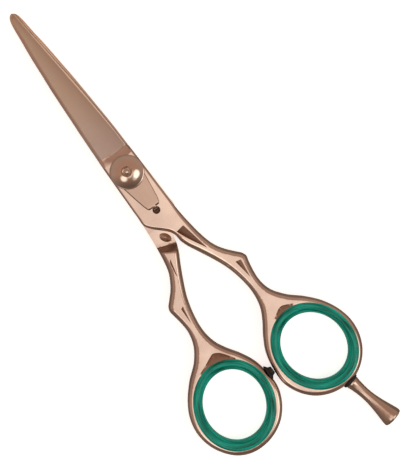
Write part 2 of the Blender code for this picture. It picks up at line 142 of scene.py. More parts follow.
# Outlines of the members, both drawn as the front one lies, tip upwards. They leave out the
# blade, which the tables above give.
SLAB_LEFT = ((-4.9, 4.0), (-5.0, 0.0), (-5.15, -6.0), (-5.25, -12.0), (-5.22, -15.0), (-4.05, -16.85),
             (-2.8, -18.15), (-1.45, -19.5), (-0.25, -20.9), (0.35, -22.6))
FINGER_SIDES = (
    (4.85, 6.0), (4.93, 0.0), (4.98, -8.0), (5.08, -14.0), (5.3, -18.5), (5.67, -22.0), (6.25, -26.0),
    (7.27, -30.0), (8.21, -32.0), (9.57, -34.0), (11.27, -36.0), (12.8, -37.9), (13.05, -38.8),
    (12.75, -40.0), (12.1, -43.5), (11.91, -46.0), (12.65, -50.0), (15.33, -54.0), (19.59, -58.0),
    (22.91, -62.0), (25.0, -66.1), (26.05, -71.0), (25.6, -75.2), (24.0, -79.0), (21.0, -82.4),
    (17.5, -84.35), (13.4, -84.9), (9.0, -84.2), (4.9, -82.0), (1.8, -78.4), (0.0, -73.8),
    (0.1, -69.0), (1.2, -64.0), (3.27, -60.0), (5.85, -56.1), (7.3, -53.3), (8.1, -50.0), (8.27, -47.5),
    (7.95, -43.8), (6.6, -38.1), (4.9, -34.0), (2.95, -30.0), (1.05, -26.0), (0.55, -24.3),
)
THUMB_SIDES = (
    (4.85, 6.0), (5.0, 0.0), (5.2, -8.0), (5.38, -14.0), (5.75, -18.5), (6.09, -22.0), (6.63, -26.0),
    (7.67, -30.0), (8.73, -32.0), (10.11, -34.0), (12.01, -36.0), (13.55, -37.8), (13.8, -38.8),
    (13.65, -40.0), (13.15, -43.5), (13.05, -46.0), (13.99, -50.0), (16.65, -54.0), (21.27, -58.0),
    (24.79, -62.0), (27.03, -66.0), (28.05, -71.0), (27.5, -75.2), (25.6, -79.3), (22.4, -82.8),
    (19.0, -84.45), (15.3, -84.9), (11.2, -84.2), (7.1, -82.1), (4.0, -78.8), (1.85, -74.0),
    (1.85, -69.0), (2.8, -64.0), (4.7, -60.0), (7.25, -56.0), (8.6, -53.2), (9.3, -50.0), (9.37, -47.5),
    (8.9, -43.8), (7.4, -38.2), (5.55, -34.0), (3.53, -30.0), (1.41, -26.0), (0.75, -24.3),
)

# Step from a slab's inner face to the full thickness of its shank: the line it follows, and its
# height against the distance past that line
STEP_LINE = ((5.9, -22.3), (0.5, -24.2))
STEP_WIDEN = 0.9            # the step is wider by this share at the line's end
STEP_SHAPE = ((-0.9, 0.0), (-0.1, 0.06), (0.0, 0.15), (1.25, 2.4), (1.35, 2.55), (1.6, 2.63),
              (2.0, 2.65))
STEP_CREASES = (-0.1, 0.0, 1.25, 1.35)
STEP_FROM, STEP_TO = -15, -29       # the step begins below the first, and its finish ends at the second
# The inner face sinks towards the step: where from, where to and how steeply
HOLLOW = (17.5, 22.5, 0.08)
# Hollow above the step: centre, long radius, short one as a share of it, lean and depth
BOWL = (2.35, -21.1, 1.8, 0.66, -33.0, 1.1)

# Ground facets on the visible side of the shanks: corners, of which the first two are the edge
# that the facet falls away from, and how steeply it falls
FINGER_FACETS = (
    (((3.8, -21.3), (5.55, -30.6), (3.5, -26.8), (2.3, -24.4), (1.2, -21.7)), 0.58),
    (((11.1, -38.7), (10.35, -44.4), (9.5, -38.3)), 0.5),
)
THUMB_FACETS = (
    (((4.75, -26.8), (6.2, -32.4), (6.15, -31.0), (5.5, -27.6)), 0.8),
    (((9.9, -39.6), (10.9, -45.4), (10.75, -40.0)), 0.6),
)
FACET_LIP = 0.07            # width over which a facet's edge is cut down


def between(table, at):
    """A smooth value from a short table of (place, value) pairs, without overshoot; at is an array."""
    places = np.array([place for place, _ in table])
    values = np.array([value for _, value in table])
    spans = np.diff(places)
    steps = np.diff(values) / spans
    product = steps[:-1] * steps[1:]
    total = steps[:-1] + steps[1:]
    inner = np.where(product > 0, 2 * product / np.where(product > 0, total, 1), 0)
    slopes = np.concatenate([steps[:1], inner, steps[-1:]])
    at = np.clip(at, places[0], places[-1])
    i = np.clip(np.searchsorted(places, at, side="right") - 1, 0, len(spans) - 1)
    t = (at - places[i]) / spans[i]
    return (values[i] * (1 + 2 * t) * (1 - t) ** 2 + values[i + 1] * t * t * (3 - 2 * t)
            + spans[i] * (slopes[i] * t * (1 - t) ** 2 - slopes[i + 1] * t * t * (1 - t)))


def smooth_line(points, closed=True, corners=(), step=STEP):
    """Points at an even spacing on a smooth curve through the given ones, with some left sharp."""
    p = np.array(points, float)
    count = len(p)
    out = []
    for i in range(count if closed else count - 1):
        here, there = p[i], p[(i + 1) % count]
        span = np.linalg.norm(there - here)
        ends = []
        for k in (i, (i + 1) % count):
            before, at, after = p[k - 1], p[k], p[(k + 1) % count]
            open_end = not closed and k in (0, count - 1)
            if open_end or k in corners:
                ends.append((there - here) / span)
            else:
                a, b = np.linalg.norm(at - before), np.linalg.norm(after - at)
                ends.append(((at - before) / a * b + (after - at) / b * a) / (a + b))
        t = np.linspace(0, 1, max(1, int(round(span / step))) + 1)[:-1, None]
        out.append((2 * t**3 - 3 * t**2 + 1) * here + (t**3 - 2 * t**2 + t) * span * ends[0]
                   + (3 * t**2 - 2 * t**3) * there + (t**3 - t**2) * span * ends[1])
    if not closed:
        out.append(p[-1:])
    return np.vstack(out)


def distance(points, line):
    """Distance of each point to a closed line of short segments."""
    d = np.roll(line, -1, axis=0) - line
    size = (d**2).sum(1)
    best = np.full(len(points), 1e9)
    for start in range(0, len(points), 2000):
        part = points[start:start + 2000, None, :] - line[None]
        t = np.clip((part * d[None]).sum(2) / size, 0, 1)
        away = part - t[..., None] * d[None]
        best[start:start + 2000] = np.sqrt((away**2).sum(2).min(1))
    return best


def inside(points, line):
    """Which points lie inside a closed line."""
    a, b = line, np.roll(line, -1, axis=0)
    x, y = points[:, :1], points[:, 1:]
    crosses = (a[:, 1] > y) != (b[:, 1] > y)
    rise = np.where(b[:, 1] == a[:, 1], 1, b[:, 1] - a[:, 1])
    at = a[:, 0] + (y - a[:, 1]) / rise * (b[:, 0] - a[:, 0])
    return (crosses & (x < at)).sum(1) % 2 == 1


def circle(x, y, radius, step=STEP, stretch=1.0, lean=0.0):
    """Points round an oval: stretch is its width as a share of its length, lean turns it by degrees."""
    count = max(16, int(2 * pi * radius / step))
    a = np.arange(count) / count * 2 * pi
    u, v = radius * stretch * np.cos(a), radius * np.sin(a)
    c, s = cos(radians(lean)), sin(radians(lean))
    return np.stack([x + u * c - v * s, y + u * s + v * c], 1)


def offset_rows(line, distances):
    """Copies of a closed line moved inwards, without the points that come too near another side."""
    ahead, behind = np.roll(line, -1, axis=0), np.roll(line, 1, axis=0)
    along = ahead - behind
    along /= np.linalg.norm(along, axis=1)[:, None]
    normal = np.stack([-along[:, 1], along[:, 0]], 1)
    if not inside(line[:1] + normal[:1] * 0.05, line)[0]:
        normal = -normal
    rows = []
    for share in distances:
        row = line + normal * share[:, None]
        rows.append(row[distance(row, line) > 0.93 * share])
    return rows


def thin_out(points, spacing):
    """Drops points that stand closer together than the spacing, earlier points first kept."""
    cells, kept = {}, []
    for i, (x, y) in enumerate(points):
        cell = (int(x // spacing), int(y // spacing))
        near = (cells.get((cell[0] + a, cell[1] + b), ()) for a in (-1, 0, 1) for b in (-1, 0, 1))
        if all((x - points[k][0]) ** 2 + (y - points[k][1]) ** 2 > spacing**2 for ks in near for k in ks):
            cells.setdefault(cell, []).append(i)
            kept.append(i)
    return points[kept]


ROW_SHARE = 0.866           # height of a triangle with equal sides, as a share of its side


def grid_points(line, spacing):
    """Points on a grid of equal triangles inside a closed line."""
    low, high = line.min(0), line.max(0)
    points = []
    for k, y in enumerate(np.arange(low[1], high[1], spacing * ROW_SHARE)):
        x = np.arange(low[0] + (k % 2) * spacing / 2, high[0], spacing)
        points.append(np.stack([x, np.full(len(x), y)], 1))
    points = np.vstack(points)
    return points[inside(points, line)]


def triangulate(outline, holes, creases, fill):
    """Triangles between an outline and its holes, with edges along the creases."""
    points, edges = [], []

    def put(line, closed):
        start = len(points)
        points.extend(Vector(p) for p in line)
        edges.extend((start + i, start + i + 1) for i in range(len(line) - 1))
        if closed:
            edges.append((start + len(line) - 1, start))

    put(outline, True)
    for hole in holes:
        put(hole, True)
    for line, closed in creases:
        put(line, closed)
    points.extend(Vector(p) for p in fill)
    found = delaunay_2d_cdt(points, edges, [], 0, 1e-5, False)
    flat = np.array([tuple(v) for v in found[0]])
    faces = np.array([f for f in found[2] if len(f) == 3])
    middle = flat[faces].mean(1)
    keep = inside(middle, outline)
    for hole in holes:
        keep &= ~inside(middle, hole)
    return flat, faces[keep]


def solid_mesh(name, flat, faces, top, low):
    """A closed mesh between two height fields over the same triangles."""
    used = np.unique(faces)
    index = np.full(len(flat), -1)
    index[used] = np.arange(len(used))
    flat, top, low, faces = flat[used], top[used], low[used], index[faces]
    turn = np.cross(flat[faces[:, 1]] - flat[faces[:, 0]], flat[faces[:, 2]] - flat[faces[:, 0]]) < 0
    faces[turn] = faces[turn][:, ::-1]
    count = len(flat)
    ends = {edge: None for a, b, c in faces.tolist() for edge in ((a, b), (b, c), (c, a))}
    walls = [(b, a, a + count, b + count) for a, b in ends if (b, a) not in ends]
    vertices = np.vstack([np.column_stack([flat, top]), np.column_stack([flat, low])]) * MM
    mesh = bpy.data.meshes.new(name)
    mesh.from_pydata(vertices.tolist(), [], faces.tolist() + (faces[:, ::-1] + count).tolist() + walls)
    mesh.validate()
    return mesh


SHARP_ANGLE = 0.5           # edges that bend by more than this, in radians, are shaded sharp


def add_piece(mesh, body, materials, replaces):
    """Puts a visual piece in the scene, in place of its CAD nodes and riding on a body."""
    piece = bpy.data.objects.new(mesh.name, mesh)
    bpy.context.scene.collection.objects.link(piece)
    for one in materials:
        mesh.materials.append(one)
    mesh.shade_smooth()
    mesh.set_sharp_from_angle(angle=SHARP_ANGLE)
    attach(piece, body)
    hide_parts(*replaces)


def lathe(name, profile, steps=96, stretch=1.0):
    """A mesh turned about Z from (radius, height) points that run down its outer side."""
    rows, vertices, faces = [], [], []
    for radius, height in profile:
        if radius < 1e-6:
            rows.append([len(vertices)] * steps)
            vertices.append((0, 0, height * MM))
            continue
        start = len(vertices)
        rows.append([start + k for k in range(steps)])
        vertices.extend((radius * stretch * MM * cos(2 * pi * k / steps),
                         radius * MM * sin(2 * pi * k / steps), height * MM) for k in range(steps))
    closed = profile[0][0] > 1e-6
    pairs = list(zip(rows, rows[1:] + rows[:1])) if closed else list(zip(rows, rows[1:]))
    for upper, lower in pairs:
        for k in range(steps):
            j = (k + 1) % steps
            corners = [upper[k], lower[k], lower[j], upper[j]]
            faces.append([v for n, v in enumerate(corners) if v not in corners[:n]])
    mesh = bpy.data.meshes.new(name)
    mesh.from_pydata(vertices, [], faces)
    return mesh


def curve_profile(points, step):
    """(radius, height) points on a smooth open line."""
    return [tuple(p) for p in smooth_line(points, closed=False, step=step)]


# -------- materials

NOISE_LOW, NOISE_HIGH = 0.3, 0.7        # the span that a noise value mostly keeps to


def add_node(tree, kind, inputs=(), operation=None):
    """A new shader node. Its inputs get a value, or a link where the value is another node's output."""
    node = tree.nodes.new("ShaderNode" + kind)
    if operation:
        node.operation = operation
    for name, value in dict(inputs).items():
        if isinstance(value, bpy.types.NodeSocket):
            tree.links.new(value, node.inputs[name])
        else:
            node.inputs[name].default_value = value
    return node


def node_material(name, base, roughness, metallic=0.0):
    """A new material with its node tree and its shader node."""
    made = bpy.data.materials.new(name)
    made.use_nodes = True
    shader = made.node_tree.nodes["Principled BSDF"]
    shader.inputs["Base Color"].default_value = (*base, 1.0)
    shader.inputs["Roughness"].default_value = roughness
    shader.inputs["Metallic"].default_value = metallic
    return made, made.node_tree, shader


def noise(tree, scale, detail, stretch=(1, 1, 1), turn=0.0):
    """A noise texture in object space, stretched along an axis for a brushed or ground look."""
    place = add_node(tree, "TexCoord").outputs["Object"]
    mapped = add_node(tree, "Mapping", {"Vector": place, "Scale": stretch, "Rotation": (0, 0, turn)})
    inputs = {"Vector": mapped.outputs["Vector"], "Scale": scale, "Detail": detail}
    return add_node(tree, "TexNoise", inputs).outputs["Fac"]


def colour_ramp(tree, value, stops):
    """Colours that a value runs through, each at its own place."""
    node = add_node(tree, "ValToRGB", {"Fac": value})
    first, last = node.color_ramp.elements
    for element, (at, colour) in ((first, stops[0]), (last, stops[-1])):
        element.position, element.color = at, (*colour, 1)
    for at, colour in stops[1:-1]:
        node.color_ramp.elements.new(at).color = (*colour, 1)
    return node.outputs["Color"]


def dress(shader, colours, roughness, relief):
    """Wires colour, roughness and relief. Each is a noise value and what it runs between: two colours
    or two roughnesses. For the relief it's the depth in millimetres and the strength."""
    tree = shader.id_data
    value, one, other = colours
    mixed = colour_ramp(tree, value, ((NOISE_LOW, one), (NOISE_HIGH, other)))
    tree.links.new(mixed, shader.inputs["Base Color"])
    value, low, high = roughness
    span = {"Value": value, "From Min": NOISE_LOW, "From Max": NOISE_HIGH, "To Min": low, "To Max": high}
    tree.links.new(add_node(tree, "MapRange", span).outputs["Result"], shader.inputs["Roughness"])
    value, depth, strength = relief
    bump = add_node(tree, "Bump", {"Height": value, "Strength": strength, "Distance": depth * MM})
    tree.links.new(bump.outputs["Normal"], shader.inputs["Normal"])


def polished_metal(name, base, other, roughness):
    """Mirror-polished coating: a slight drift of colour, faint wipe marks and a barely uneven surface."""
    made, tree, shader = node_material(name, base, roughness, 1.0)
    wipes = noise(tree, 700, 4, (1, 0.25, 1), 0.4)
    dress(shader, (noise(tree, 90, 3), base, other), (wipes, roughness * 0.8, roughness * 1.35),
          (noise(tree, 160, 2), 0.02, 0.12))
    return made


DRIFT = 0.009               # how fast a ground surface's colour changes along the blade, per millimetre
DRIFT_MIDDLE = 30           # the place along Y where it's half-way


def satin_metal(name, base, other, roughness, turn):
    """Ground surface: fine lines one way, and a colour that drifts from the pivot towards the tip."""
    made, tree, shader = node_material(name, base, roughness, 1.0)
    place = add_node(tree, "SeparateXYZ", {0: add_node(tree, "TexCoord").outputs["Object"]})
    patches = noise(tree, 60, 3, (1, 0.5, 1))
    drift = add_node(tree, "Math", {0: place.outputs["Y"], 1: DRIFT / MM, 2: patches}, "MULTIPLY_ADD")
    level = add_node(tree, "Math", {0: drift.outputs[0], 1: DRIFT_MIDDLE * DRIFT}, "SUBTRACT")
    lines = noise(tree, 3000, 3, (0.04, 1, 1), turn)
    dress(shader, (level.outputs[0], base, other), (lines, roughness * 0.85, roughness * 1.2),
          (lines, 0.004, 0.35))
    return made


def green_plastic(name):
    """Glossy, slightly translucent green, drawn out round the ring in darker and lighter streaks."""
    base, other = (0.001, 0.095, 0.062), (0.014, 0.64, 0.50)
    made, tree, shader = node_material(name, base, 0.22)
    place = add_node(tree, "Attribute")
    place.attribute_name = "streak"
    texture = add_node(tree, "TexNoise", {"Vector": place.outputs["Vector"], "Scale": 1.0, "Detail": 3})
    streaks = texture.outputs["Fac"]
    dress(shader, (streaks, base, other), (noise(tree, 500, 3), 0.07, 0.17), (streaks, 0.08, 0.35))
    shader.inputs["Specular IOR Level"].default_value = 0.22
    shader.inputs["Subsurface Weight"].default_value = 0.15
    shader.inputs["Subsurface Radius"].default_value = (0.3, 1.0, 0.7)
    shader.inputs["Subsurface Scale"].default_value = 0.001
    return made


def soft_black(name):
    """Matt black rubber with a fine grain."""
    made, tree, shader = node_material(name, (0.012, 0.012, 0.011), 0.55)
    dress(shader, (noise(tree, 600, 5), (0.008, 0.008, 0.008), (0.03, 0.029, 0.027)),
          (noise(tree, 900, 4), 0.45, 0.7), (noise(tree, 2500, 5), 0.02, 0.4))
    return made


def nylon(name):
    """Natural nylon, slightly mottled."""
    made, tree, shader = node_material(name, (0.8, 0.78, 0.72), 0.45)
    dress(shader, (noise(tree, 300, 4), (0.74, 0.72, 0.65), (0.84, 0.82, 0.77)),
          (noise(tree, 900, 4), 0.38, 0.55), (noise(tree, 1800, 4), 0.02, 0.3))
    return made


# The colours suit this scene's light; they were tuned to the photo and aren't measured values
ROSE = polished_metal("rose_gold_polished", (0.68, 0.585, 0.505), (0.79, 0.68, 0.575), 0.10)
FORGED = polished_metal("rose_gold_forged", (0.59, 0.485, 0.42), (0.80, 0.69, 0.585), 0.11)
TURNED = polished_metal("rose_gold_turned", (0.60, 0.49, 0.40), (0.66, 0.54, 0.44), 0.2)
# The blade's ground face: real satin lines and roughness, but its colour is darker than the polished metal's
# as painted shade for the face's tilt.
SATIN_PAINTED_SHADE = satin_metal("rose_gold_satin_painted_shade", (0.49, 0.41, 0.36), (0.55, 0.45, 0.345), 0.34, 0.12)
BEVEL = satin_metal("rose_gold_bevel", (0.88, 0.77, 0.67), (0.94, 0.81, 0.66), 0.22, 0.12)
SPRING = polished_metal("spring_polished", (0.50, 0.39, 0.315), (0.55, 0.43, 0.35), 0.16)
# Inside the spring's hole and the bolt head's recess: a rough drilled finish whose dark colour is painted
# shade.
DRILLED_PAINTED_SHADE = satin_metal("drilled_painted_shade", (0.17, 0.10, 0.07), (0.25, 0.15, 0.105), 0.5, 0.0)
# Bowl, step, flange recesses and ground facets: a rough milled finish whose darker colour is painted shade
# for these recesses and steep faces.
MILLED_PAINTED_SHADE = satin_metal("rose_gold_milled_painted_shade", (0.50, 0.365, 0.29), (0.60, 0.44, 0.35), 0.38, 0.5)
FINISHES = [FORGED, SATIN_PAINTED_SHADE, BEVEL, DRILLED_PAINTED_SHADE, MILLED_PAINTED_SHADE]
GREEN = green_plastic("ring_green")
BLACK = soft_black("rubber_black")
NYLON = nylon("nylon_natural")


# -------- members

def blade_side(y):
    """How far the spine lies from the blade's middle line."""
    return between(HALF_WIDTH, y)


def edge_side(y):
    """How far the cutting edge lies from it."""
    return between(HALF_WIDTH, y) - between(EDGE_INSET, y)


def member_outline(sides):
    """The whole outline: cutting edge from the tip down, then slab, shank, ring and back up to the spine."""
    edge = [(edge_side(y), y) for y in np.array(EDGE_PLACES)]
    spine = [(-blade_side(y), y) for y in np.array(SPINE_PLACES)]
    points = [(0.0, TIP)] + edge + list(sides) + list(reversed(SLAB_LEFT)) + spine
    corner = len(edge)
    return smooth_line(points, corners=(corner, corner + 1))


def inner_face(y):
    """Height of the front member's inner face: slab, then a blade that stands back a little and leans in."""
    lean = INNER_RELIEF - BLADE_SET * (np.maximum(y, 0) / TIP) ** 2
    return FRONT_LOW + np.where(y > BLADE_ROOT, lean, 0.0)


def blade_top(x, y):
    """Height of the blade's outer side: rounded spine, slightly crowned face, bevel and thin edge."""
    half, edge, face = blade_side(y), edge_side(y), between(FACE_END, y)
    high = between(SPINE_HEIGHT, y)
    spine = -half + np.minimum(SPINE_ROUND, 0.5 * half)
    t = np.clip((x - spine) / (face - spine), 0, 1)
    fall = np.minimum(FACE_SLOPE * (face - spine), FALL_LIMIT * high)
    surface = high - fall * ((1 - CROWN) * t + CROWN * t * t)
    last = edge - EDGE_WIDTH
    surface = surface - BEVEL_SLOPE * np.clip(x - face, 0, last - face)
    t = np.clip((x - last) / EDGE_WIDTH, 0, 1)
    surface = surface - (surface - EDGE_LAND) * t * t
    t = np.clip((spine - x) / (spine + half), 0, 1)
    return inner_face(y) + surface - SPINE_DROP * high * t * t


def step_frame():
    """Start of the step's line, the line itself and the direction down towards the ring."""
    a, b = np.array(STEP_LINE)
    along = b - a
    normal = np.array([along[1], -along[0]]) / np.linalg.norm(along)
    return a, along, normal if normal[1] < 0 else -normal


def past_step(flat):
    """How far each point lies past the step's line, as a share of the step's width there."""
    a, along, normal = step_frame()
    share = np.clip((flat - a) @ along / (along @ along), 0, 1)
    return (flat - a) @ normal / (1 + STEP_WIDEN * share)


def step_crease(far):
    """A line along the step at one distance past its own line."""
    a, along, normal = step_frame()
    share = np.linspace(-0.15, 1.3, 26)[:, None]
    return a + along * share + normal * far * (1 + STEP_WIDEN * np.clip(share, 0, 1))


def rounded(height, edge_distance, width, drop, power):
    """A height that falls off towards an edge."""
    t = np.clip(edge_distance / width, 0, 1)
    return height - drop * (1 - t) ** power


def facet_shape(corners, lip=0.0):
    """A facet's outline, or one inside it by the width of its lip."""
    shape = smooth_line(corners, corners=range(len(corners)), step=0.3)
    return offset_rows(shape, [np.full(len(shape), lip)])[0] if lip else shape


def facet_depth(flat, heights, corners, slope):
    """How deep a flat facet lies under the surface at each point. Heights run from the cut side inwards."""
    a, b = np.array(corners[0]), np.array(corners[1])
    along = (b - a) / np.linalg.norm(b - a)
    away = np.abs((flat - a) @ np.array([-along[1], along[0]]))
    shape = facet_shape(corners)
    start = heights[np.argmin(np.linalg.norm(flat - a, axis=1))]
    lip = np.clip(distance(flat, shape) / FACET_LIP, 0, 1)
    return np.where(inside(flat, shape), np.maximum(start + away * slope - heights, 0) * lip, 0)


def bowl_line(share):
    """The bowl's edge, or a smaller curve inside it."""
    wx, wy, radius, stretch, lean, _ = BOWL
    return circle(wx, wy, radius * share, step=0.25, stretch=stretch, lean=lean)


def bowl_depth(flat):
    """How deep the bowl is at each point: a cone with an oval edge."""
    wx, wy, radius, stretch, lean, depth = BOWL
    a = radians(lean)
    dx, dy = flat[:, 0] - wx, flat[:, 1] - wy
    across, along = dx * cos(a) + dy * sin(a), dy * cos(a) - dx * sin(a)
    return depth * np.clip(1 - np.hypot(across / stretch, along) / radius, 0, 1)


def member_heights(flat, outline, bore, pocket, facets, wells, flip):
    """Top and underside of a member that lies as the front one does. flip says that the underside shows."""
    x, y = flat[:, 0], flat[:, 1]
    from_side, from_bore = distance(flat, outline), distance(flat, bore)
    edge = np.minimum(from_side, from_bore)
    power = np.where(from_side < from_bore, SIDE_POWER, BORE_POWER)
    width, drop = between(ROUND_WIDTH, y), between(ROUND_DROP, y)
    handle = np.clip((-y - SHANK_START) / SHANK_BLEND, 0, 1)
    handle = handle * handle * (3 - 2 * handle)
    top = rounded(FRONT_TOP + (HANDLE_TOP - FRONT_TOP) * handle, edge, width, drop, power)
    root = between(ROOT_LINE, x)
    on_blade = y > BLADE_ROOT
    ramp = np.clip((y - root + RAMP) / RAMP, 0, 1) ** RAMP_POWER
    top = top + (np.minimum(blade_top(x, y), top) - top) * ramp
    from_ring = np.maximum(distance(flat, bore) - (POCKET_EDGE - METAL_BORE) * BORE_SHARE, 0)
    cut = np.minimum(distance(flat, pocket) * POCKET_WALL, from_ring * POCKET_SLOPE)
    cut = np.where(inside(flat, pocket), cut, 0)
    top = np.minimum(top, HANDLE_TOP - cut)
    start, stop, slope = HOLLOW
    step = between(STEP_SHAPE, past_step(flat)) * (y < STEP_FROM)
    hollow = slope * np.clip(-y - start, 0, stop - start) * (1 - step / STEP_SHAPE[-1][1])
    low = inner_face(y) + hollow - step + bowl_depth(flat)
    under = 2 * MID - rounded(HANDLE_TOP, edge, width, drop, power)
    low = np.where(y < -SHANK_START, np.maximum(low, under), low)
    low = np.maximum(low, HANDLE_LOW + cut)
    spine = np.clip((x + blade_side(y)) / INNER_ROUND, 0, 1)
    low = low + np.where(on_blade, INNER_DROP * between(SPINE_HEIGHT, y) * (1 - spine) ** 2, 0)
    for corners, slope in facets:
        if flip:
            low = low + facet_depth(flat, low, corners, slope)
        else:
            top = top - facet_depth(flat, -top, corners, slope)
    for wx, wy, radius, floor in wells:
        top = np.where(np.hypot(x - wx, y - wy) < radius, floor, top)
    return top, low


def member_mesh(name, sides, ring, facets, pocket_points, holes, wells, flip):
    """A whole forged member. Wells are drilled from the top: x, y, radius and height of the floor."""
    outline = member_outline(sides)
    cx, cy, lean = ring
    bore = circle(cx, cy, METAL_BORE, stretch=BORE_SHARE, lean=lean)
    rim = circle(cx, cy, POCKET_EDGE, step=0.5, stretch=BORE_SHARE, lean=lean)
    apex = smooth_line(pocket_points, closed=False, step=0.3)
    pocket = pocket_shape(rim, apex)
    y = outline[:, 1]
    widths = np.where(y > BLADE_ROOT, np.minimum(SPINE_ROUND, 0.45 * blade_side(y)), between(ROUND_WIDTH, y))
    shares = [1 - cos(pi / 2 * (k + 1) / EDGE_ROWS) for k in range(EDGE_ROWS)]
    rows = offset_rows(outline, [np.maximum(widths * s, ROW_GAP * (k + 1)) for k, s in enumerate(shares)])
    face = np.linspace(BLADE_ROOT + 0.25, TIP - 0.9, 130)
    creases = [(np.stack([between(FACE_END, face), face], 1), False),
               (np.stack([edge_side(face) - EDGE_WIDTH, face], 1), False)]
    across = np.linspace(-5, 5, 60)
    ends = [np.stack([across, between(ROOT_LINE, across) - back], 1) for back in (0.0, RAMP / 2, RAMP)]
    for line in ends + [step_crease(far) for far in STEP_CREASES]:
        creases.append((line[inside(line, outline) & (distance(line, outline) > 0.1)], False))
    creases += [(bowl_line(share), True) for share in (1.0, 0.6, 0.3)]
    out = apex - (cx, cy)
    wall = apex - WALL_WIDTH * out / np.linalg.norm(out, axis=1)[:, None]
    creases += [(apex, False), (wall[inside(wall, pocket)], False)]
    for wx, wy, radius, _ in wells:
        creases += [(circle(wx, wy, radius + rim_side, step=0.2), True) for rim_side in (WELL_RIM, -WELL_RIM)]
    for corners, _ in facets:
        creases += [(facet_shape(corners), True), (facet_shape(corners, FACET_LIP), True)]
    fill = grid_points(outline, GRID)
    away = np.minimum(distance(fill, outline), distance(fill, bore))
    fill = fill[away > np.minimum(between(ROUND_WIDTH, fill[:, 1]), GRID_EDGE)]
    candidates = np.vstack([*rows, pocket, *offset_pocket(pocket, outline), fill])
    candidates = candidates[inside(candidates, outline) & ~inside(candidates, bore)]
    lines = [outline, bore] + [np.array(line) for line, _ in creases] + list(holes)
    clear = np.min([distance(candidates, line) for line in lines], axis=0) > LINE_GAP
    candidates = thin_out(candidates[clear], POINT_GAP)
    flat, faces = triangulate(outline, [bore, *holes], creases, candidates)
    top, low = member_heights(flat, outline, bore, pocket, facets, wells, flip)
    mesh = solid_mesh(name, flat, faces, top, low)
    if flip:
        mesh.transform(Matrix.Translation((0, 0, MID * MM)) @ Matrix.Rotation(pi, 4, "Y")
                       @ Matrix.Translation((0, 0, -MID * MM)))
    paint_member(mesh, flip, wells, facets, pocket, bore)
    for vertex in mesh.vertices:
        if vertex.co.y > BLADE_ROOT * MM:
            vertex.co.x += float(between(BLADE_SHIFT, np.array([vertex.co.y / MM]))[0]) * MM
    return mesh


def pocket_shape(rim, apex):
    """The flange's recess: the ring's own curve, drawn out to a point towards the shank."""
    low, high = apex[0], apex[-1]
    start = int(np.argmin(np.linalg.norm(rim - low, axis=1)))
    end = int(np.argmin(np.linalg.norm(rim - high, axis=1)))
    count = len(rim)
    ways = [[rim[(a + k) % count] for k in range((b - a) % count)] for a, b in ((end, start), (start, end))]
    longer = max(ways, key=len)
    if np.linalg.norm(longer[-1] - low) < np.linalg.norm(longer[-1] - high):
        return np.vstack([longer, apex])
    return np.vstack([longer, apex[::-1]])


def offset_pocket(pocket, outline):
    """Rows of points inside the recess's edge, which give its slope enough faces."""
    rows = offset_rows(pocket, [np.full(len(pocket), d) for d in (0.05, 0.4, 0.8, 1.25)])
    return [row[inside(row, outline)] for row in rows]


def paint_member(mesh, flip, wells, facets, pocket, bore):
    """Gives each face its finish: polished, satin face, bevel and inner blade, drilled or milled. The satin
    face, the drilled holes and the milled recesses get darker colours that are painted shade.
    """
    polished, satin, ground, drilled, milled_shade = range(len(FINISHES))      # in the order of that list
    centres = np.array([tuple(p.center) for p in mesh.polygons]) / MM
    normals = np.array([tuple(p.normal) for p in mesh.polygons])
    x = -centres[:, 0] if flip else centres[:, 0]
    up = -normals[:, 2] if flip else normals[:, 2]
    y = centres[:, 1]
    outer = (y > between(ROOT_LINE, x)) & (up > 0.2)
    face = outer & (x < between(FACE_END, y)) & (x > -blade_side(y) + FACE_START * SPINE_ROUND)
    bevel = outer & (x >= between(FACE_END, y))
    inner = (y > BLADE_ROOT + 0.1) & (up < -0.5)
    # The satin face's darker colour is painted shade for its tilt, on top of its real satin finish.
    kinds = np.where(face, satin, np.where(bevel | inner, ground, polished))
    # Painted shade: inside the drilled holes the faces take the dark finish.
    for wx, wy, radius, _ in wells:
        kinds[np.hypot(x - wx, y - wy) < radius + WELL_RIM / 2] = drilled
    flat = np.stack([x, y], 1)
    under = (up < 0) & (y < BLADE_ROOT)
    past = past_step(flat)
    # Painted shade: the bowl, the steep face of the step, the flange recesses and the facets take the darker
    # milled finish.
    milled = inside(flat, bowl_line(1.0)) & under
    steep = under & (up > -0.9)
    milled |= steep & (past > 0) & (past < STEP_CREASES[-1]) & (y < -SHANK_START) & (y > STEP_TO)
    milled |= inside(flat, pocket) & (distance(flat, bore) > (POCKET_EDGE - METAL_BORE) * BORE_SHARE)
    for corners, _ in facets:
        milled |= inside(flat, facet_shape(corners)) & ((up < 0) == flip)
    kinds[milled] = milled_shade
    mesh.polygons.foreach_set("material_index", kinds.astype(np.int32))


def square(side):
    """The outline of a square hole."""
    h = side / 2
    return smooth_line(((h, h), (-h, h), (-h, -h), (h, -h)), corners=range(4), step=0.5)


# The hole for the spring's tongue and the recess for the bolt's head: x, y, radius and floor
TONGUE_HOLE = (0.3, -13.4, 1.1, FRONT_TOP - 1.6)
HEAD_RECESS = (0, 0, BOLT_HEAD_RADIUS + 0.1, FRONT_TOP - 0.9)
BUSH_HOLE = 2.96            # radius of the front member's hole
NECK_HOLE = 4.4             # side of the rear member's square hole
finger_mesh = member_mesh("finger_member_fine", FINGER_SIDES, RINGS["finger"], FINGER_FACETS,
                          POCKETS["finger"], [circle(0, 0, BUSH_HOLE, step=0.3)], [TONGUE_HOLE], False)
add_piece(finger_mesh, "finger_side", FINISHES, ["finger_member"])
thumb_mesh = member_mesh("thumb_member_fine", THUMB_SIDES, RINGS["thumb"], THUMB_FACETS,
                         POCKETS["thumb"], [square(NECK_HOLE)], [HEAD_RECESS], True)
add_piece(thumb_mesh, "thumb_side", FINISHES, ["thumb_member"])


# -------- ring inserts

STREAK_TURN, STREAK_RISE = 1.6, 2.2     # how fast the colour changes round the ring and across it


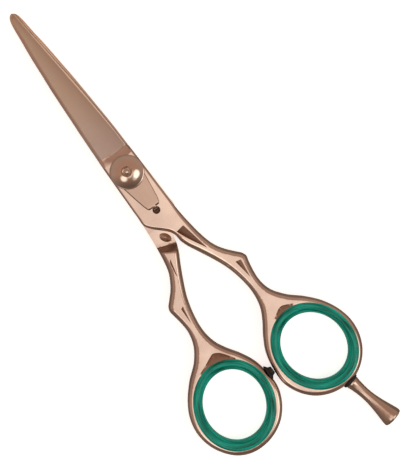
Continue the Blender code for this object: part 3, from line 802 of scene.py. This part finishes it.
def insert_mesh(name):
    """A soft C-shaped ring: rounded bore, crowned flanges and a groove that grips the metal."""
    crown = INSERT_TOP - MID
    lip = HANDLE_TOP - MID + 0.1
    half = [(BORE_LONG + out, height)
            for out, height in ((0, 0.0), (0.03, 1.1), (0.3, 2.0), (0.85, 2.62), (1.45, crown - 0.04),
                                (1.9, crown), (2.4, crown - 0.07))]
    half += [(FLANGE - 0.25, crown - 0.2), (FLANGE - 0.04, lip + 0.1), (FLANGE, lip + 0.04)]
    upper = curve_profile(half, step=0.2)[1:]
    upper += [(FLANGE - 0.1, lip), (BORE_LONG + 1.4, lip)]
    lower = [(radius, -height) for radius, height in reversed(upper)]
    profile = [(BORE_LONG, 0.0)] + upper + lower
    mesh = lathe(name, profile, steps=144, stretch=BORE_SHARE)
    places = np.array([tuple(v.co) for v in mesh.vertices]) / MM
    around = np.arctan2(places[:, 1], places[:, 0] / BORE_SHARE)
    out = np.hypot(places[:, 1], places[:, 0] / BORE_SHARE)
    streak = np.stack([STREAK_TURN * np.cos(around), STREAK_TURN * np.sin(around),
                       STREAK_RISE * (out + 0.4 * places[:, 2])], 1)
    mesh.attributes.new("streak", "FLOAT_VECTOR", "POINT").data.foreach_set("vector", streak.ravel())
    return mesh


for side, mirror in (("finger", 1), ("thumb", -1)):
    x, y, lean = RINGS[side]
    mesh = insert_mesh(side + "_insert_fine")
    mesh.transform(Matrix.Translation((mirror * x * MM, y * MM, MID * MM))
                   @ Matrix.Rotation(radians(mirror * lean), 4, "Z"))
    add_piece(mesh, side + "_side", [GREEN], [side + "_ring_insert"])


# -------- pivot

def knob_mesh():
    """A domed knob with a rounded rim, a plain skirt and a bore that shows the bolt's end."""
    bore = 1.46
    wide, high = 5.49, 3.59                 # half-axes of the oval that the dome is part of
    level, start, end = 0.3, 0.285, 1.0     # angles on it: at the knob's top, and the dome's two ends
    top = KNOB_TOP - KNOB_LOW - high * cos(level)
    dome = [(wide * sin(a), top + high * cos(a)) for a in np.linspace(start, end, 24)]
    edge = dome[-1][1]
    rim = [(KNOB_RADIUS - inward, edge - down)
           for inward, down in ((0.33, 0.03), (0.15, 0.10), (0.04, 0.24), (0, 0.45))]
    skirt = [(KNOB_RADIUS, 0.18), (KNOB_RADIUS - 0.06, 0.05), (KNOB_RADIUS - 0.18, 0)]
    profile = [(bore, dome[0][1] - 0.45), (bore + 0.04, dome[0][1] - 0.08)] + dome + rim + skirt + [(bore, 0)]
    return lathe("tension_knob_fine", [(r, KNOB_LOW + z) for r, z in profile], steps=128)


add_piece(knob_mesh(), "knob", [ROSE], ["tension_knob"])

WASHER_BORE, WASHER_EDGE = 1.56, 0.1    # radius of its hole, and how far its rim is bevelled
washer = [(WASHER_BORE, WASHER_TOP), (WASHER_RADIUS - WASHER_EDGE, WASHER_TOP),
          (WASHER_RADIUS, WASHER_TOP - WASHER_EDGE), (WASHER_RADIUS, WASHER_LOW + WASHER_EDGE),
          (WASHER_RADIUS - WASHER_EDGE, WASHER_LOW), (WASHER_BORE, WASHER_LOW)]
add_piece(lathe("knob_washer_fine", washer), "thumb_side", [SPRING], ["knob_washer"])


def leaf_mesh():
    """Flat spring with a round end, a tapered tail that dips, and a tongue bent down into its hole."""
    disc = 4.6
    reach, shoulder, start = 14.6, 12.3, 11.0       # ends of tongue and tail, and start of the bend
    tail = [(-3.75, -3.0), (-3.4, -4.6), (-2.95, -7.0), (-2.5, -9.0), (-1.95, -11.2), (-1.62, -12.0),
            (-1.3, -shoulder), (-0.38, -shoulder), (-0.38, -reach), (1.0, -reach), (1.0, -shoulder),
            (1.9, -shoulder), (2.25, -12.0), (2.6, -11.2), (3.0, -9.0), (3.3, -7.0), (3.6, -4.6),
            (3.85, -3.0)]
    around = [(disc * cos(a), disc * sin(a)) for a in np.linspace(-0.12 * pi, 1.12 * pi, 14)]
    square_corners = range(6, 12)
    outline = smooth_line(tail + around, corners=square_corners, step=0.25)
    rows = offset_rows(outline, [np.full(len(outline), d) for d in (0.07, 0.15, 0.28)])
    fill = grid_points(outline, 0.4)
    fill = fill[distance(fill, outline) > 0.3]
    points = thin_out(np.vstack([*rows, fill]), 0.08)
    points = points[distance(points, outline) > 0.03]
    flat, faces = triangulate(outline, [circle(0, 0, 2.2, step=0.3)], [], points)
    edge = distance(flat, outline)
    slant = np.where(flat[:, 0] > 2.0, 0.14, 0.34)      # the edge's rounding is finer on the right side
    top = rounded(np.full(len(flat), LEAF_TOP), edge, slant, 1.05 * slant, 2)
    low = np.full(len(flat), LEAF_TOP - LEAF_THICK)
    mesh = solid_mesh("leaf_spring_fine", flat, faces, top, low)
    # The bend's angle along the tail: a slight dip over the first stretch, then a tight turn down
    dip, stretch, radius, steepest = 0.22, 1.3, 0.8, 1.45
    s = np.linspace(0, reach - start, 200)
    turn = np.where(s < stretch, dip * (s / stretch) ** 2, np.minimum(dip + (s - stretch) / radius, steepest))
    along = np.concatenate([[0], np.cumsum(np.cos(turn[:-1]) * np.diff(s))])
    down = np.concatenate([[0], np.cumsum(np.sin(turn[:-1]) * np.diff(s))])
    for vertex in mesh.vertices:
        x, y, z = vertex.co / MM
        if y < -start:
            at = -y - start
            lift = z - LEAF_TOP
            a = float(np.interp(at, s, turn))
            vertex.co.y = (-start - float(np.interp(at, s, along)) + lift * sin(a)) * MM
            vertex.co.z = (LEAF_TOP - float(np.interp(at, s, down)) + lift * cos(a)) * MM
    return mesh


add_piece(leaf_mesh(), "finger_side", [SPRING], ["leaf_spring"])


def bolt_mesh():
    """The bolt: a nub on a coned end, the thread, the neck and a flat head with a round socket."""
    nub, thread, neck, head, round_up = 0.65, 1.4, 1.9, BOLT_HEAD_RADIUS, 0.35
    end, neck_top, head_top = BOLT_TOP - 0.7, 5.9, 1.4
    profile = [(0, BOLT_TOP)]
    profile += [(nub * sin(a), BOLT_TOP - round_up + round_up * cos(a)) for a in (0.4, 0.8, 1.2, 1.5)]
    profile += [(nub, end + 0.38), (nub + 0.06, end + 0.34), (thread - 0.1, end + 0.03), (thread, end - 0.1),
                (thread, neck_top), (neck, neck_top), (neck, head_top), (head, head_top), (head, 0.3),
                (head - 0.1, 0.1), (head - 0.35, 0), (1.6, 0), (1.5, 0.1), (1.45, 0.9), (0, 0.9)]
    return lathe("pivot_bolt_fine", profile)


add_piece(bolt_mesh(), "thumb_side", [ROSE], ["pivot_bolt"])


# -------- finger rest and bumper

rest_joint = next(j for j in frame["joints"] if j["name"] == "rest_turn")
REST_SEAT = Vector(rest_joint["pos_m"])
REST_TURN = Vector(rest_joint["axis"]).to_track_quat("Z", "X").to_matrix().to_4x4()
REST_PLACE = Matrix.Translation(REST_SEAT) @ REST_TURN


def rest_mesh():
    """The waisted finger rest, on a plain spigot. Heights run outwards from the ring."""
    foot = 1.12
    spigot, depth = 1.05, 2.0
    side = [(0.0, 1.95), (0.35, 1.98), (0.8, 1.88), (2.6, 1.66), (5.0, 1.53), (7.0, 1.62), (9.0, 1.86),
            (11.2, 2.24), (13.2, 2.64), (14.6, 2.9), (15.2, 2.93), (15.55, 2.78)]
    line = curve_profile([(r, foot + far) for far, r in side], 0.25)
    profile = [(0, foot + 15.9), (1.4, foot + 15.86), (2.3, foot + 15.75)] + line[::-1]
    profile += [(spigot, foot), (spigot, -depth), (0, -depth)]
    return lathe("finger_rest_fine", profile, steps=64)


def o_ring_mesh():
    """An O-ring, slightly flattened."""
    tube, radius = 0.56, 1.84
    wider, lower = 1.1, 0.92
    around = np.linspace(0, 2 * pi, 24)[:-1]
    profile = [(radius + tube * wider * cos(a), tube + tube * lower * sin(a)) for a in around]
    return lathe("finger_rest_washer_fine", profile[::-1], steps=64)


BUMPER_HEIGHT = 1.95


def bumper_mesh():
    """A flared rubber stop on a stem. Heights run outwards from the thumb ring."""
    stem, depth = 0.7, 1.6
    side = [(0.9, BUMPER_HEIGHT), (1.12, 1.85), (1.2, 1.6), (1.4, 1.1), (1.95, 0.65), (2.25, 0.4), (2.3, 0.2),
            (2.2, 0.1)]
    profile = [(0, BUMPER_HEIGHT)] + curve_profile(side, 0.12) + [(stem, 0.1), (stem, -depth), (0, -depth)]
    return lathe("bumper_fine", profile, steps=48)


rest = rest_mesh()
rest.transform(REST_PLACE)
add_piece(rest, "rest", [TURNED], ["finger_rest"])
ring = o_ring_mesh()
ring.transform(REST_PLACE)
add_piece(ring, "finger_side", [BLACK], ["finger_rest_washer"])
stop = bumper_mesh()
bumper_low, bumper_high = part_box("bumper")
bumper_foot = (bumper_high.x / MM - BUMPER_HEIGHT) * MM
stop.transform(Matrix.Translation((bumper_foot, (bumper_low.y + bumper_high.y) / 2, MID * MM))
               @ Matrix.Rotation(pi / 2, 4, "Y"))
add_piece(stop, "thumb_side", [BLACK], ["bumper"])

for node in ("pivot_bush", "blade_washer"):
    piece = frame["nodes"][node]
    piece.data.materials.clear()
    piece.data.materials.append(NYLON)


# -------- stage, light and camera

FLOOR_SIDE = 2.0
FLOOR_COLOUR, FLOOR_GLOW = (0.9, 0.9, 0.9, 1), 0.72
REFLECTED_COLOUR, REFLECTED_GLOW = (0.30, 0.21, 0.17, 1), 0.7
# The room darkens towards one side: its direction, over which part of it, and from what strength to what
DARK_SIDE, DARK_SPAN, ROOM_STRENGTH = (-0.5, -0.85, 0.0), (0.1, 0.9), (1.1, 0.4)
# Colours of the room from the horizon up to the zenith
ROOM_COLOURS = ((0.0, (0.38, 0.28, 0.24)), (0.35, (0.40, 0.28, 0.23)), (0.62, (0.42, 0.26, 0.20)),
                (1.0, (0.42, 0.25, 0.19)))
LIGHT_COLOUR = (1.0, 0.98, 0.95, 1)
# Soft lights in the world: direction, inner and outer angle in degrees, and strength
LIGHTS = (((0.0, -0.06, 1.0), 9, 24, 0.64),
          ((0.0, -0.30, 1.0), 5, 14, 0.25),
          ((-0.45, -0.22, 0.86), 5, 17, 1.2),
          ((0.46, -0.47, 0.75), 6, 21, 1.5),
          ((0.22, -0.62, 0.75), 4, 16, 0.5))


def make_floor():
    """A pale floor, which reflections see as dark and warm."""
    mesh = bpy.data.meshes.new("floor")
    corners = [(x * FLOOR_SIDE, y * FLOOR_SIDE, 0) for x, y in ((-1, -1), (1, -1), (1, 1), (-1, 1))]
    mesh.from_pydata(corners, [], [(0, 1, 2, 3)])
    floor = bpy.data.objects.new("floor", mesh)
    bpy.context.scene.collection.objects.link(floor)
    made = bpy.data.materials.new("pale_floor")
    made.use_nodes = True
    tree = made.node_tree
    tree.nodes.clear()
    pale = add_node(tree, "BsdfDiffuse", {"Color": FLOOR_COLOUR})
    glow = add_node(tree, "Emission", {"Color": (1, 1, 1, 1), "Strength": FLOOR_GLOW})
    dark = add_node(tree, "Emission", {"Color": REFLECTED_COLOUR, "Strength": REFLECTED_GLOW})
    both = add_node(tree, "AddShader", {0: pale.outputs[0], 1: glow.outputs[0]})
    glossy = add_node(tree, "LightPath").outputs["Is Glossy Ray"]
    pick = add_node(tree, "MixShader", {"Fac": glossy, 1: both.outputs[0], 2: dark.outputs[0]})
    add_node(tree, "OutputMaterial", {"Surface": pick.outputs[0]})
    mesh.materials.append(made)


def spot(tree, place, toward, inner, outer, strength):
    """Brightness of a round soft light in one direction, which fades between two angles in degrees."""
    dot = add_node(tree, "VectorMath", {0: place, 1: Vector(toward).normalized()}, "DOT_PRODUCT")
    inputs = {"Value": dot.outputs["Value"], "From Min": cos(radians(outer)), "From Max": cos(radians(inner)),
              "To Max": strength}
    fade = add_node(tree, "MapRange", inputs)
    fade.interpolation_type = "SMOOTHSTEP"
    return fade.outputs["Result"]


def make_world():
    """A warm brown room with soft lights, darker on the near left side; the camera sees plain white."""
    world = bpy.data.worlds.new("studio")
    bpy.context.scene.world = world
    world.use_nodes = True
    tree = world.node_tree
    tree.nodes.clear()
    place = add_node(tree, "TexCoord").outputs["Generated"]
    height = add_node(tree, "SeparateXYZ", {0: place}).outputs["Z"]
    side = add_node(tree, "VectorMath", {0: place, 1: DARK_SIDE}, "DOT_PRODUCT")
    inputs = {"Value": side.outputs["Value"], "From Min": DARK_SPAN[0], "From Max": DARK_SPAN[1],
              "To Min": ROOM_STRENGTH[0], "To Max": ROOM_STRENGTH[1]}
    lift = add_node(tree, "MapRange", inputs).outputs["Result"]
    colours = colour_ramp(tree, height, ROOM_COLOURS)
    total = add_node(tree, "Background", {"Color": colours, "Strength": lift}).outputs[0]
    for light in LIGHTS:
        soft = add_node(tree, "Background", {"Color": LIGHT_COLOUR, "Strength": spot(tree, place, *light)})
        total = add_node(tree, "AddShader", {0: total, 1: soft.outputs[0]}).outputs[0]
    plain = add_node(tree, "Background", {"Color": (1, 1, 1, 1)})
    seen = add_node(tree, "LightPath").outputs["Is Camera Ray"]
    pick = add_node(tree, "MixShader", {"Fac": seen, 1: total, 2: plain.outputs[0]})
    add_node(tree, "OutputWorld", {"Surface": pick.outputs[0]})


def make_camera():
    """It looks straight down, with the shears' long axis leaning to the left."""
    width_over_height = 407 / 459
    seen_width = 0.11488
    seen_height = seen_width / width_over_height
    centre = (0.007666, -0.025697)
    plane = 0.004
    above = 0.45
    data = bpy.data.cameras.new("camera")
    data.sensor_width = 36
    data.lens = data.sensor_width * above / seen_height
    data.clip_end = 10
    camera = bpy.data.objects.new("camera", data)
    bpy.context.scene.collection.objects.link(camera)
    right, up = Vector((0.8037, -0.5951, 0)), Vector((0.5951, 0.8037, 0))
    turn = Matrix((right, up, Vector((0, 0, 1)))).transposed().to_4x4()
    camera.matrix_world = Matrix.Translation((*centre, plane + above)) @ turn
    bpy.context.scene.camera = camera


make_floor()
make_world()
make_camera()
bpy.context.scene.view_settings.view_transform = "Standard"
